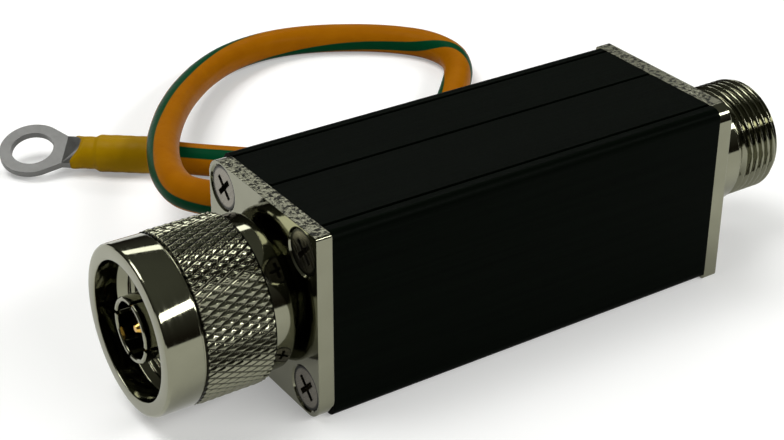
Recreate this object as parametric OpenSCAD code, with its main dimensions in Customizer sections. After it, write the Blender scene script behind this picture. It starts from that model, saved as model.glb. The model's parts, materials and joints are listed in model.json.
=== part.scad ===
// Coaxial lightning arrestor: a plug with a captive coupling nut and a threaded jack on a
// square extruded housing, a gas discharge tube from line to earth inside it, and an earth
// lead with a ring terminal.
// The line's axis runs along +X towards the jack, +Y is the side that the lead leaves, and
// the housing stands on Z = 0. All sizes are in millimetres.

/* [Housing] */
// Side of the square housing and of both flanges
body_w = 25.4; // [25:0.1:30]
// Length of the housing between the flanges
body_len = 59.3; // [56:0.1:80]
// Wall thickness of the extrusion
wall = 2.2; // [1.8:0.1:2.6]
// Radius of the four long edges
body_edge_r = 1.4; // [0.6:0.1:2]
// Distance from the two outer grooves to the sides
groove_inset = 2.3; // [2:0.1:4]
// Sideways offset of the middle groove
groove_offset = 1.3; // [-4:0.1:4]
// Width of a groove
groove_w = 0.5; // [0.3:0.05:0.8]
// Depth of a groove
groove_d = 0.4; // [0.2:0.05:0.8]
// Outer diameter of a screw port
port_d = 5.8; // [5.2:0.1:6.4]
// Width of a screw port's open side
port_slot_w = 1.6; // [1:0.1:2.4]

/* [Flanges] */
// Thickness of a flange
flange_t = 2.1; // [1.8:0.1:3]
// Radius of a flange's two plain corners
flange_corner_r = 0.5; // [0.3:0.1:1.5]
// Radius of a flange's two relieved corners
flange_relief_r = 2.6; // [1:0.1:3]
// Distance from a flange's sides to its screws
screw_inset = 3.3; // [3.2:0.05:3.6]
// Thread diameter of the flange screws
screw_d = 3; // [2.5:0.1:3.2]
// Head diameter of the flange screws
screw_head_d = 5.7; // [5.2:0.1:5.9]
// How far the screw heads lie below the flange's face
screw_sink = 0.2; // [0.1:0.05:0.3]
// Length of the flange screws
screw_len = 10; // [8:0.5:16]
// Length across the cross recess
recess_len = 3.4; // [2.6:0.1:4]
// Width of the cross recess
recess_w = 0.7; // [0.5:0.05:0.9]
// Depth of the cross recess
recess_depth = 1.1; // [0.8:0.05:1.3]
// Length of the spigot behind each flange
spigot_len = 3; // [2:0.1:4]
// Diameter of the spigot behind each flange
spigot_d = 10.4; // [9:0.1:10.8]

/* [Plug] */
// Diameter of the neck that the nut turns on
neck_d = 13; // [12:0.1:13.4]
// Length of the neck in front of the flange
neck_len = 9.25; // [8.5:0.05:10.5]
// Outer diameter of the slotted outer contact
contact_d = 8.2; // [7.8:0.05:8.4]
// How far the outer contact lies back from the nut's front
contact_setback = 0.4; // [0:0.1:1.5]
// How deep the outer contact sits in the neck
contact_seat = 5; // [3:0.1:6]
// Width of the outer contact's four slots
contact_slot_w = 0.6; // [0.4:0.05:0.9]
// Length of the outer contact's slots
contact_slot_len = 6.5; // [4:0.1:8]
// Turn of the slots about the axis
contact_slot_turn = 10; // [0:1:45]
// How far the pin's tip lies back from the outer contact's edge
pin_setback = 0.7; // [0.3:0.1:2]
// Diameter of the pin
pin_d = 1.65; // [1.6:0.01:1.7]
// Length of the pin in front of its shoulder
pin_len = 5; // [4:0.1:6]
// Thickness of the gasket
gasket_t = 1.4; // [1:0.1:1.8]

/* [Coupling nut] */
// Gap between the plug flange and the nut
nut_gap = 1.05; // [0.6:0.05:1.5]
// Diameter of the smooth ring at the nut's front
nut_ring_d = 21.2; // [20.4:0.1:21.4]
// Length of the smooth ring
nut_ring_len = 4.65; // [4:0.05:6]
// Crest diameter of the knurl
knurl_d = 21.5; // [21:0.1:22]
// Length of the knurl
knurl_len = 9.2; // [8:0.1:11]
// Depth of the step between the ring and the knurl
nut_line_d = 0.35; // [0.2:0.05:0.5]
// Width of the step between the ring and the knurl
nut_line_w = 0.3; // [0.2:0.05:0.5]
// Diameter of the smooth collar behind the knurl
nut_collar_d = 19.7; // [18.5:0.1:20.4]
// Length of the collar
nut_collar_len = 3.05; // [2.4:0.05:4]
// Radius of the collar's rear edge
nut_round_r = 0.8; // [0.3:0.1:1.5]
// Minor diameter of the nut's thread
nut_thread_d = 14.8; // [14.6:0.05:15.2]
// Diameter of the smooth mouth in front of the thread
nut_mouth_d = 17.3; // [16.8:0.1:17.6]
// Length of the smooth mouth
nut_mouth_len = 3; // [2:0.1:3.6]
// Radius of the nut's front edge
nut_rim_r = 0.55; // [0.3:0.05:0.8]
// Diameter of the relief behind the thread
nut_relief_d = 16; // [15.4:0.1:16.6]
// Width of the snap ring
snap_w = 1; // [0.8:0.05:1.2]
// How deep the snap ring's groove is cut into the neck
snap_neck_d = 0.75; // [0.5:0.05:0.9]
// How deep the snap ring's groove is cut into the nut
snap_nut_d = 0.7; // [0.4:0.05:0.9]

/* [Jack] */
// Diameter of the smooth shoulder behind the thread
jack_shoulder_d = 16.4; // [16:0.1:17.2]
// Length of the shoulder
jack_shoulder_len = 7.45; // [6:0.05:9]
// Width of the thread's run-out groove
jack_runout_w = 0.8; // [0.5:0.1:1.2]
// Depth of the thread's run-out groove
jack_runout_d = 0.7; // [0.4:0.05:0.9]
// Major diameter of the thread
jack_thread_d = 15.88; // [15.7:0.01:16]
// Length of the thread
jack_thread_len = 6.5; // [5:0.1:9]
// Chamfer at the thread's end
jack_chamfer = 0.4; // [0.2:0.05:0.7]
// Bore of the mouth
jack_mouth_d = 8.5; // [8.4:0.01:8.7]
// Depth of the mouth
jack_mouth_depth = 9; // [8:0.1:10]
// How far the socket's tip lies back from the jack's end
socket_setback = 5.2; // [4:0.1:6]
// Bore of the socket
socket_bore_d = 1.7; // [1.66:0.01:1.8]
// Width of the socket's slots
socket_slot_w = 0.3; // [0.2:0.05:0.4]

/* [Line] */
// Inner diameter of the outer conductor in plug and jack
line_bore_d = 7; // [6.8:0.05:7.1]
// Diameter of the pin's shoulder and of the socket
contact_shoulder_d = 3.04; // [2.9:0.01:3.2]
// Diameter of the stems of pin and socket
stem_d = 2.4; // [2:0.1:2.6]
// How far each stem goes into the inner conductor
stem_seat = 4.5; // [3:0.1:5]
// How far each bead lies back in its body at both ends
bead_setback = 0.5; // [0.3:0.05:1]
// Diameter of the inner conductor
rod_d = 9.8; // [8:0.1:11]
// Diameter of the inner conductor's ends
rod_end_d = 4; // [3.6:0.1:5]
// Length of the inner conductor's ends
rod_end_len = 3; // [2:0.1:5]
// Length of the flat that is milled in the inner conductor
rod_flat_len = 10; // [9:0.1:14]

/* [Gas tube and earth] */
// Diameter of the gas tube
tube_d = 8; // [7:0.1:8.4]
// Length of the gas tube
tube_len = 6; // [5.5:0.1:6.4]
// Thickness of the gas tube's electrodes
electrode_t = 0.9; // [0.6:0.05:1.4]
// How much smaller the ceramic's radius is
ceramic_step = 0.2; // [0.1:0.05:0.5]
// Thickness of the spring clip
clip_t = 0.5; // [0.4:0.05:0.7]
// Height of the dished spring clip
clip_h = 1; // [0.8:0.05:1.3]
// Outer diameter of the spring clip
clip_d = 6; // [5:0.1:7]
// Hole of the spring clip
clip_hole_d = 2.6; // [2:0.1:3.4]
// How deep the spring clip sits in the inner conductor
clip_seat = 0.5; // [0.3:0.05:0.7]
// Thickness of the earth bracket
bracket_t = 1; // [0.8:0.05:1.1]
// Distance between the bracket's screws
bracket_pitch = 7; // [6:0.1:8]
// Thread diameter of the bracket's screws
bracket_screw_d = 1.6; // [1.4:0.1:2]
// Head diameter of the bracket's screws
bracket_head_d = 3; // [2.6:0.1:3.2]
// Head height of the bracket's screws
bracket_head_h = 1.2; // [0.8:0.1:1.6]
// How deep the bracket's screws go into the flange
bracket_screw_depth = 1.4; // [1:0.1:1.6]
// Outer diameter of the bush for the lead's conductor
bush_d = 4.6; // [4.2:0.1:5]
// Flange diameter of the bush
bush_flange_d = 6.4; // [5.6:0.1:7]
// Flange thickness of the bush
bush_flange_t = 0.8; // [0.5:0.1:1]

/* [Earth lead] */
// Outer diameter of the lead
lead_d = 4.8; // [4:0.1:5]
// Diameter of the lead's bare conductor
core_d = 3.2; // [2.6:0.1:3.4]
// Distance from the housing's plug end to the lead
lead_inset = 8.65; // [8:0.05:12]
// How far the lead's cover lies inside the wall
cover_seat = 1.2; // [0.6:0.1:1.6]
// How far the conductor stands out of the bush
core_stand = 0.6; // [0.2:0.1:1]
// Diameter of the grommet's stem in the wall
grommet_stem_d = 6.8; // [6:0.1:7.4]
// Diameter of the grommet's lip
grommet_d = 9.6; // [8.6:0.1:11]
// Thickness of the grommet's lip
grommet_t = 1.8; // [1.2:0.1:2.6]
// Outer diameter of the sleeve on the terminal
sleeve_d = 5.7; // [5.4:0.1:5.8]
// Length of the sleeve on the lead
sleeve_on_lead = 5.5; // [3:0.1:5.6]
// Diameter of the terminal's barrel
barrel_d = 4.6; // [4:0.1:4.8]
// Length of the terminal's barrel
barrel_len = 5; // [4:0.1:8]
// Hole of the ring terminal
terminal_hole_d = 6.4; // [5.2:0.1:6.6]
// Outer diameter of the ring terminal
terminal_ring_d = 10; // [9.4:0.1:10.2]
// Sheet thickness of the ring terminal
terminal_t = 1; // [0.6:0.05:1]
// Distance from the end of the lead's cover to the terminal's hole
terminal_reach = 13; // [12:0.1:16]
// Turn of the terminal's ring about the lead
terminal_tilt = 20; // [0:1:28]

/* [Hidden] */
$fn = 64;

// Clearances of seated pieces, of the turning nut and of screws in their holes
seat_gap = 0.03;
run_gap = 0.08;
screw_gap = 0.05;
// Small chamfer on turned edges, and how far a cut runs past a face
edge = 0.3;
past = 1;

// Height of the line's axis, half the housing's inner width, and the distance between screws
axis_h = body_w / 2;
inner_half = body_w / 2 - wall;
screw_pitch = body_w - 2 * screw_inset;

// Stations along X: inner and outer faces of the flanges
plug_seat_x = -body_len / 2;
plug_face_x = plug_seat_x - flange_t;
jack_seat_x = body_len / 2;
jack_face_x = jack_seat_x + flange_t;

// Stations of the plug
nut_rear_x = plug_face_x - nut_gap;
nut_len = nut_ring_len + nut_line_w + knurl_len + nut_collar_len;
nut_front_x = nut_rear_x - nut_len;
neck_front_x = plug_face_x - neck_len;
gasket_front_x = neck_front_x - gasket_t;
contact_front_x = nut_front_x + contact_setback;
contact_rear_x = neck_front_x + contact_seat;
pin_tip_x = contact_front_x + pin_setback;
pin_shoulder_x = pin_tip_x + pin_len;
plug_bead_front_x = neck_front_x + bead_setback;
plug_bead_rear_x = plug_seat_x + spigot_len - bead_setback;
snap_x = (nut_rear_x + neck_front_x) / 2;

// Stations of the jack
jack_end_x = jack_face_x + jack_shoulder_len + jack_runout_w + jack_thread_len;
jack_step_x = jack_end_x - jack_mouth_depth;
jack_bead_front_x = jack_step_x - bead_setback;
jack_bead_rear_x = jack_seat_x - spigot_len + bead_setback;
socket_tip_x = jack_end_x - socket_setback;

// Heights above the line's axis of the gas tube's ends, of the clip's seat and of the rod's flat
tube_earth_y = inner_half - bracket_t;
tube_line_y = tube_earth_y - tube_len;
clip_seat_y = tube_line_y - clip_h;
rod_flat_y = clip_seat_y + clip_seat;

// Snap ring between the two groove bottoms, with room to turn
snap_inner_r = neck_d / 2 - snap_neck_d + run_gap;
snap_outer_r = neck_d / 2 + run_gap + snap_nut_d - 2 * run_gap;

// Earth bracket: between the screw ports, from beside the spigot to past the gas tube
bracket_h = screw_pitch - port_d - 2 * screw_gap;
bracket_end_x = tube_d / 2 + bracket_t;
bend_r = 1.5 * bracket_t;
foot_w = inner_half - spigot_d / 2 - edge;

// Where the lead passes the wall, and the points that it follows from there
lead_x = plug_seat_x + lead_inset;
lead_start = [lead_x, body_w / 2 - cover_seat, axis_h];
lead_free = [lead_x, body_w / 2 + grommet_t + lead_d / 2, axis_h];
lead_points = [
    [-22.3, 21.1, 12.2], [-24.9, 25.7, 11.3], [-26.4, 31, 10.4], [-25.5, 37, 9.6],
    [-23.4, 43, 8.9], [-20.6, 49, 8.2], [-17.2, 54.8, 7.5], [-12.4, 61.7, 6.7],
    [-6.5, 69, 5.5], [0.5, 76, 4.3], [8, 81.2, 3.4], [16, 83.8, 2.7],
    [23.5, 83.2, 2.4], [30.6, 79.8, 2.4], [36.6, 75.2, 2.4], [40.6, 69.8, 2.4],
    [41.4, 63.8, 2.4], [39.2, 58.4, 2.4], [35, 53.2, 2.4], [29, 47, 2.4],
    [22, 40.5, 2.4], [14, 36.6, 2.4], [6, 37.6, 2.4], [-1.5, 42, 2.4],
    [-8, 47.8, 2.4], [-13.5, 52.5, 2.5], [-18.5, 56.5, 2.9], [-23, 60, 2.9]
];
lead_route = concat([lead_start, lead_free], lead_points);
lead_sides = 10;
lead_end = lead_route[len(lead_route) - 1];
lead_last = lead_end - lead_route[len(lead_route) - 2];
lead_heading = atan2(lead_last[1], lead_last[0]);

// Colours of the materials
BLACK = [0.06, 0.07, 0.06];
NICKEL = [0.62, 0.60, 0.53];
GOLD = [0.85, 0.68, 0.32];
BRASS = [0.78, 0.66, 0.36];
COPPER = [0.72, 0.43, 0.26];
PTFE = [0.93, 0.93, 0.90];
RUBBER = [0.12, 0.12, 0.12];
RED_RUBBER = [0.60, 0.18, 0.12];
CERAMIC = [0.90, 0.87, 0.80];
STEEL = [0.66, 0.66, 0.64];
ORANGE = [0.86, 0.58, 0.10];
YELLOW = [0.80, 0.65, 0.08];
TIN = [0.70, 0.70, 0.69];

// Revolves [radius, station] points about the line's axis
module turned(profile) {
    translate([0, 0, axis_h]) rotate([0, 90, 0]) rotate_extrude() polygon(profile);
}

// Revolves [radius, station] points about an axis along +Y at x, at the line's height
module turned_across(x, profile) {
    translate([x, 0, axis_h]) rotate([-90, 0, 0]) rotate_extrude() polygon(profile);
}

// A rectangular [radius, station] profile of a plain ring or disc
function ring_profile(r_in, r_out, from, to) = [[r_in, from], [r_out, from], [r_out, to], [r_in, to]];

// Quarter turn of points about a centre, for a profile's rounded corner
function corner_arc(centre, r, start) =
    [for (a = [start:15:start + 90]) centre + r * [cos(a), sin(a)]];

// Extrudes a shape drawn in Y and Z along +X
module along_x(from, to) {
    translate([from, 0, 0]) rotate([90, 0, 90]) linear_extrude(to - from) children();
}

// Puts its children at the four corner screws, in the flange's plane
module at_screws(x) {
    for (y = [-1, 1], z = [-1, 1])
        translate([x, y * screw_pitch / 2, axis_h + z * screw_pitch / 2]) children();
}

// Square outline about the line's axis, with its own radius at each corner in the order
// near bottom, far bottom, far top, near top
module square_outline(w, radii) {
    corners = [[-1, -1], [1, -1], [1, 1], [-1, 1]];
    translate([0, axis_h]) difference() {
        square(w, center = true);
        for (i = [0:3]) corner_notch(corners[i], w / 2, radii[i]);
    }
}

// What a corner radius takes off a square corner
module corner_notch(corner, half, r) {
    translate([corner[0] * (half - r), corner[1] * (half - r)]) difference() {
        translate([corner[0] > 0 ? 0 : -r - past, corner[1] > 0 ? 0 : -r - past]) square(r + past);
        circle(r);
    }
}

// Two crossed cuts through the line's axis, turned about it
module cross_slots(from, to, width, reach, turn) {
    for (a = [turn, turn + 90])
        translate([from, 0, axis_h]) rotate([a, 0, 0])
            translate([0, -reach, -width / 2]) cube([to - from, 2 * reach, width]);
}

module housing_section() {
    difference() {
        square_outline(body_w, [for (i = [0:3]) body_edge_r]);
        translate([0, axis_h]) cavity_section();
        translate([0, axis_h]) port_holes();
        for (y = [groove_inset - body_w / 2, groove_offset, body_w / 2 - groove_inset])
            translate([y - groove_w / 2, body_w - groove_d]) square([groove_w, groove_d + past]);
    }
}

module cavity_section() {
    difference() {
        square(2 * inner_half, center = true);
        for (y = [-1, 1], z = [-1, 1])
            translate([y * screw_pitch / 2, z * screw_pitch / 2]) circle(d = port_d);
    }
}

// Screw ports that are open towards the cavity
module port_holes() {
    for (a = [45:90:315]) rotate(a) {
        translate([screw_pitch / sqrt(2), 0]) circle(d = screw_d + 2 * screw_gap);
        translate([screw_pitch / sqrt(2) - port_d / 2 - past, -port_slot_w / 2])
            square([port_d / 2 + past, port_slot_w]);
    }
}

module housing_extrusion() {
    color(BLACK) difference() {
        along_x(plug_seat_x, jack_seat_x) housing_section();
        turned_across(lead_x, ring_profile(0, grommet_stem_d / 2 + seat_gap, 0, body_w));
    }
}

// One countersunk hole that opens towards +X
module countersunk_hole() {
    mouth_d = screw_head_d + 2 * (screw_sink + screw_gap);
    rotate([0, -90, 0]) {
        translate([0, 0, -past]) cylinder(d = screw_d + 2 * screw_gap, h = flange_t + 2 * past);
        cylinder(d1 = mouth_d, d2 = screw_d, h = (mouth_d - screw_d) / 2);
        translate([0, 0, -past]) cylinder(d = mouth_d, h = past);
    }
}

// One countersunk screw with a cross recess, its head sunk below X = 0 and its shank towards -X
module countersunk_screw() {
    head_h = (screw_head_d - screw_d) / 2;
    translate([-screw_sink, 0, 0]) difference() {
        rotate([0, -90, 0]) rotate_extrude() polygon([
            [0, 0], [screw_head_d / 2, 0], [screw_d / 2, head_h], [screw_d / 2, screw_len - edge],
            [screw_d / 2 - edge, screw_len], [0, screw_len]
        ]);
        for (a = [0, 90]) rotate([a + 45, 0, 0])
            translate([-recess_depth, -recess_len / 2, -recess_w / 2])
                cube([recess_depth + past, recess_len, recess_w]);
    }
}

// Puts its children on the plug flange's outer face, turned to open towards -X
module on_plug_face() {
    at_screws(plug_face_x) mirror([1, 0, 0]) children();
}

module plug_flange_screws() {
    color(STEEL) on_plug_face() countersunk_screw();
}

module jack_flange_screws() {
    color(STEEL) at_screws(jack_face_x) countersunk_screw();
}

module plug_body() {
    color(NICKEL) difference() {
        union() {
            along_x(plug_face_x, plug_seat_x) square_outline(body_w, [
                flange_relief_r, flange_corner_r, flange_relief_r, flange_corner_r
            ]);
            turned([
                [0, neck_front_x], [neck_d / 2 - edge, neck_front_x], [neck_d / 2, neck_front_x + edge],
                [neck_d / 2, plug_face_x + edge], [0, plug_face_x + edge]
            ]);
            turned(ring_profile(0, spigot_d / 2, plug_seat_x - edge, plug_seat_x + spigot_len));
        }
        turned(ring_profile(neck_d / 2 - snap_neck_d, neck_d, snap_x - snap_w / 2 - run_gap,
            snap_x + snap_w / 2 + run_gap));
        turned(ring_profile(0, contact_d / 2 + seat_gap, neck_front_x - past, contact_rear_x));
        turned(ring_profile(0, line_bore_d / 2, contact_rear_x - past, plug_seat_x + spigot_len + past));
        on_plug_face() countersunk_hole();
        at_bracket_screws() rotate([0, -90, 0]) translate([0, 0, -past])
            cylinder(d = bracket_screw_d + 2 * screw_gap, h = bracket_screw_depth + past);
    }
}

module plug_outer_contact() {
    color(NICKEL) difference() {
        turned([
            [line_bore_d / 2, contact_rear_x], [line_bore_d / 2, contact_front_x + edge / 2],
            [line_bore_d / 2 + edge / 2, contact_front_x], [contact_d / 2 - edge / 2, contact_front_x],
            [contact_d / 2, contact_front_x + edge / 2], [contact_d / 2, contact_rear_x]
        ]);
        cross_slots(contact_front_x - past, contact_front_x + contact_slot_len, contact_slot_w, contact_d,
            contact_slot_turn);
    }
}

module plug_gasket() {
    color(RED_RUBBER) turned(ring_profile(contact_d / 2 + seat_gap, neck_d / 2 - edge, gasket_front_x,
        neck_front_x));
}

module plug_insulator() {
    color(PTFE) turned(ring_profile(stem_d / 2 + seat_gap, line_bore_d / 2 - seat_gap, plug_bead_front_x,
        plug_bead_rear_x));
}

module plug_centre_pin() {
    color(GOLD) turned([
        [0, pin_tip_x], [pin_d / 4, pin_tip_x], [pin_d / 2, pin_tip_x + pin_d / 2],
        [pin_d / 2, pin_shoulder_x], [contact_shoulder_d / 2 - edge / 2, pin_shoulder_x],
        [contact_shoulder_d / 2, pin_shoulder_x + edge / 2], [contact_shoulder_d / 2, plug_bead_front_x],
        [stem_d / 2, plug_bead_front_x], [stem_d / 2, plug_bead_rear_x + stem_seat],
        [0, plug_bead_rear_x + stem_seat]
    ]);
}

// Split ring that lies half in the neck's groove and half in the nut's
module nut_snap_ring() {
    gap = 2 * snap_w;
    color(STEEL) difference() {
        turned(ring_profile(snap_inner_r, snap_outer_r, snap_x - snap_w / 2, snap_x + snap_w / 2));
        translate([snap_x - snap_w, -gap / 2, axis_h]) cube([2 * snap_w, gap, neck_d]);
    }
}

module coupling_nut() {
    bore_r = neck_d / 2 + run_gap;
    ring_rear_x = nut_front_x + nut_ring_len;
    knurl_front_x = ring_rear_x + nut_line_w;
    knurl_rear_x = knurl_front_x + knurl_len;
    mouth_rear_x = nut_front_x + nut_mouth_len;
    thread_front_x = mouth_rear_x + (nut_mouth_d - nut_thread_d) / 2;
    thread_rear_x = gasket_front_x - edge;
    relief_rear_x = neck_front_x + edge;
    rim_centre = [nut_ring_d / 2 - nut_rim_r, nut_front_x + nut_rim_r];
    collar_centre = [nut_collar_d / 2 - nut_round_r, nut_rear_x - nut_round_r];
    color(NICKEL) difference() {
        turned(concat([
            [nut_mouth_d / 2, nut_front_x]
        ], corner_arc(rim_centre, nut_rim_r, -90), [
            [nut_ring_d / 2, ring_rear_x],
            [nut_ring_d / 2 - nut_line_d, ring_rear_x], [nut_ring_d / 2 - nut_line_d, knurl_front_x],
            [knurl_d / 2 - edge, knurl_front_x], [knurl_d / 2, knurl_front_x + edge],
            [knurl_d / 2, knurl_rear_x - edge], [knurl_d / 2 - edge, knurl_rear_x],
            [nut_collar_d / 2, knurl_rear_x]
        ], corner_arc(collar_centre, nut_round_r, 0), [
            [bore_r, nut_rear_x], [bore_r, relief_rear_x],
            [nut_relief_d / 2, relief_rear_x], [nut_relief_d / 2, thread_rear_x],
            [nut_thread_d / 2, thread_rear_x], [nut_thread_d / 2, thread_front_x],
            [nut_mouth_d / 2, mouth_rear_x]
        ]));
        turned(ring_profile(0, bore_r + snap_nut_d, snap_x - snap_w / 2 - run_gap,
            snap_x + snap_w / 2 + run_gap));
    }
}

module jack_body() {
    runout_x = jack_face_x + jack_shoulder_len;
    thread_x = runout_x + jack_runout_w;
    color(NICKEL) difference() {
        union() {
            along_x(jack_seat_x, jack_face_x) square_outline(body_w, [
                flange_corner_r, flange_relief_r, flange_corner_r, flange_relief_r
            ]);
            turned([
                [0, jack_face_x - edge], [jack_shoulder_d / 2, jack_face_x - edge],
                [jack_shoulder_d / 2, runout_x - edge], [jack_shoulder_d / 2 - edge, runout_x],
                [jack_thread_d / 2 - jack_runout_d, runout_x], [jack_thread_d / 2 - jack_runout_d, thread_x],
                [jack_thread_d / 2 - edge, thread_x], [jack_thread_d / 2, thread_x + edge],
                [jack_thread_d / 2, jack_end_x - jack_chamfer],
                [jack_thread_d / 2 - jack_chamfer, jack_end_x], [0, jack_end_x]
            ]);
            turned(ring_profile(0, spigot_d / 2, jack_seat_x - spigot_len, jack_seat_x + edge));
        }
        turned([
            [0, jack_step_x], [jack_mouth_d / 2, jack_step_x], [jack_mouth_d / 2, jack_end_x - edge],
            [jack_mouth_d / 2 + edge + past, jack_end_x + past], [0, jack_end_x + past]
        ]);
        turned(ring_profile(0, line_bore_d / 2, jack_seat_x - spigot_len - past, jack_step_x + past));
        at_screws(jack_face_x) countersunk_hole();
    }
}

module jack_insulator() {
    color(PTFE) turned(ring_profile(stem_d / 2 + seat_gap, line_bore_d / 2 - seat_gap, jack_bead_rear_x,
        jack_bead_front_x));
}

module jack_centre_socket() {
    bore_end_x = jack_bead_front_x + edge;
    color(GOLD) difference() {
        turned([
            [0, jack_bead_rear_x - stem_seat], [stem_d / 2, jack_bead_rear_x - stem_seat],
            [stem_d / 2, jack_bead_front_x], [contact_shoulder_d / 2, jack_bead_front_x],
            [contact_shoulder_d / 2, socket_tip_x - edge / 2],
            [contact_shoulder_d / 2 - edge / 2, socket_tip_x], [socket_bore_d / 2, socket_tip_x],
            [socket_bore_d / 2, bore_end_x], [0, bore_end_x]
        ]);
        cross_slots(bore_end_x + edge, socket_tip_x + past, socket_slot_w, contact_shoulder_d, 0);
    }
}

// Rod between pin and socket, with a milled flat and a round seat for the clip and the gas tube
module inner_conductor() {
    end_r = rod_end_d / 2;
    rod_r = rod_d / 2;
    bore_r = stem_d / 2 + seat_gap;
    rod_plug_x = plug_bead_rear_x + rod_end_len;
    rod_jack_x = jack_bead_rear_x - rod_end_len;
    color(BRASS) difference() {
        turned([
            [0, plug_bead_rear_x], [end_r, plug_bead_rear_x], [end_r, rod_plug_x],
            [rod_r - edge, rod_plug_x], [rod_r, rod_plug_x + edge],
            [rod_r, rod_jack_x - edge], [rod_r - edge, rod_jack_x],
            [end_r, rod_jack_x], [end_r, jack_bead_rear_x], [0, jack_bead_rear_x]
        ]);
        turned(ring_profile(0, bore_r, plug_bead_rear_x - past, plug_bead_rear_x + stem_seat + edge));
        turned(ring_profile(0, bore_r, jack_bead_rear_x - stem_seat - edge, jack_bead_rear_x + past));
        translate([-rod_flat_len / 2, rod_flat_y, axis_h - rod_d]) cube([rod_flat_len, rod_d, 2 * rod_d]);
        turned_across(0, ring_profile(0, clip_d / 2 + seat_gap, clip_seat_y, rod_d));
    }
}

// Dished spring in the rod's seat, its inner rim against the gas tube
module line_clip() {
    color(BRASS) turned_across(0, [
        [clip_hole_d / 2, tube_line_y - clip_t], [clip_d / 2, clip_seat_y],
        [clip_d / 2, clip_seat_y + clip_t], [clip_hole_d / 2, tube_line_y]
    ]);
}

module gas_tube_line_electrode() {
    color(STEEL) turned_across(0, ring_profile(0, tube_d / 2, tube_line_y, tube_line_y + electrode_t));
}

module gas_tube_ceramic() {
    color(CERAMIC) turned_across(0, ring_profile(0, tube_d / 2 - ceramic_step, tube_line_y + electrode_t,
        tube_earth_y - electrode_t));
}

module gas_tube_earth_electrode() {
    color(STEEL) turned_across(0, ring_profile(0, tube_d / 2, tube_earth_y - electrode_t, tube_earth_y));
}

// Puts its children at the bracket's screws, on the plug flange's inner face
module at_bracket_screws() {
    foot_y = inner_half - (foot_w + bend_r) / 2;
    for (z = [-1, 1]) translate([plug_seat_x, foot_y, axis_h + z * bracket_pitch / 2]) children();
}

// Bent strip: a foot on the plug flange and an arm along the far wall
module earth_bracket() {
    color(BRASS) difference() {
        translate([0, 0, axis_h - bracket_h / 2]) linear_extrude(bracket_h) {
            translate([plug_seat_x, inner_half - foot_w]) square([bracket_t, foot_w - bend_r]);
            translate([plug_seat_x + bend_r, inner_half - bracket_t])
                square([bracket_end_x - plug_seat_x - bend_r, bracket_t]);
            translate([plug_seat_x + bend_r, inner_half - bend_r]) intersection() {
                difference() {
                    circle(bend_r);
                    circle(bend_r - bracket_t);
                }
                translate([-bend_r, 0]) square(bend_r);
            }
        }
        turned_across(lead_x, ring_profile(0, bush_d / 2 + seat_gap, 0, body_w));
        at_bracket_screws() rotate([0, 90, 0])
            translate([0, 0, -past]) cylinder(d = bracket_screw_d + 2 * screw_gap, h = bracket_t + 2 * past);
    }
}

module bracket_screws() {
    shank_r = bracket_screw_d / 2;
    head_r = bracket_head_d / 2;
    head_top = bracket_t + bracket_head_h;
    color(STEEL) at_bracket_screws() rotate([0, 90, 0]) rotate_extrude() polygon([
        [0, -bracket_screw_depth], [shank_r, -bracket_screw_depth], [shank_r, bracket_t],
        [head_r, bracket_t], [head_r, head_top - edge], [head_r - edge, head_top], [0, head_top]
    ]);
}

module earth_bush() {
    arm_y = inner_half - bracket_t;
    bore_r = core_d / 2 + seat_gap;
    color(BRASS) turned_across(lead_x, [
        [bore_r, arm_y - bush_flange_t], [bush_flange_d / 2, arm_y - bush_flange_t],
        [bush_flange_d / 2, arm_y], [bush_d / 2, arm_y], [bush_d / 2, inner_half], [bore_r, inner_half]
    ]);
}

module lead_core() {
    core_y = inner_half - bracket_t - bush_flange_t - core_stand;
    color(COPPER) turned_across(lead_x, ring_profile(0, core_d / 2, core_y, lead_start[1]));
}

// Rubber bush with a rounded lip on the outside of the wall
module lead_grommet() {
    bore_r = lead_d / 2 + seat_gap;
    stem_r = grommet_stem_d / 2;
    lip_r = grommet_d / 2;
    round_r = grommet_t / 2;
    half_w = body_w / 2;
    color(RUBBER) turned_across(lead_x, concat(
        [[bore_r, inner_half], [stem_r, inner_half], [stem_r, half_w], [lip_r, half_w]],
        corner_arc([lip_r - round_r, half_w + round_r], round_r, 0),
        [[bore_r, half_w + grommet_t]]
    ));
}

function unit(v) = v / norm(v);

// Direction of a path at one of its points
function heading_at(path, i) = unit(path[min(i + 1, len(path) - 1)] - path[max(i - 1, 0)]);

// Ring of points about a path's point, square to its direction
function ring_about(centre, along, r, sides) =
    let (side = unit(cross(along, [0, 0, 1])), up = cross(side, along))
    [for (k = [0:sides - 1]) centre + r * (cos(360 * k / sides) * side + sin(360 * k / sides) * up)];

// Closed tube swept along a path
module swept_tube(path, d, sides) {
    last = (len(path) - 1) * sides;
    rings = [for (i = [0:len(path) - 1]) each ring_about(path[i], heading_at(path, i), d / 2, sides)];
    walls = [for (i = [0:len(path) - 2], k = [0:sides - 1])
        let (a = i * sides + k, b = i * sides + (k + 1) % sides)
        each [[a, a + sides, b], [b, a + sides, b + sides]]];
    start_cap = [for (k = [0:sides - 1]) k];
    end_cap = [for (k = [sides - 1:-1:0]) last + k];
    polyhedron(points = rings, faces = concat(walls, [start_cap, end_cap]));
}

module earth_lead() {
    color(ORANGE) swept_tube(lead_route, lead_d, lead_sides);
}

// Puts its children at the lead's end, with +X along the lead
module at_lead_end() {
    translate(lead_end) rotate([0, 0, lead_heading]) children();
}

module terminal_sleeve() {
    bore_r = lead_d / 2 + seat_gap;
    outer_r = sleeve_d / 2;
    color(YELLOW) at_lead_end() rotate([0, 90, 0]) rotate_extrude() polygon([
        [bore_r, -sleeve_on_lead], [outer_r - edge / 2, -sleeve_on_lead], [outer_r, edge - sleeve_on_lead],
        [outer_r, barrel_len - edge], [outer_r - edge / 2, barrel_len], [bore_r, barrel_len]
    ]);
}

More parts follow.
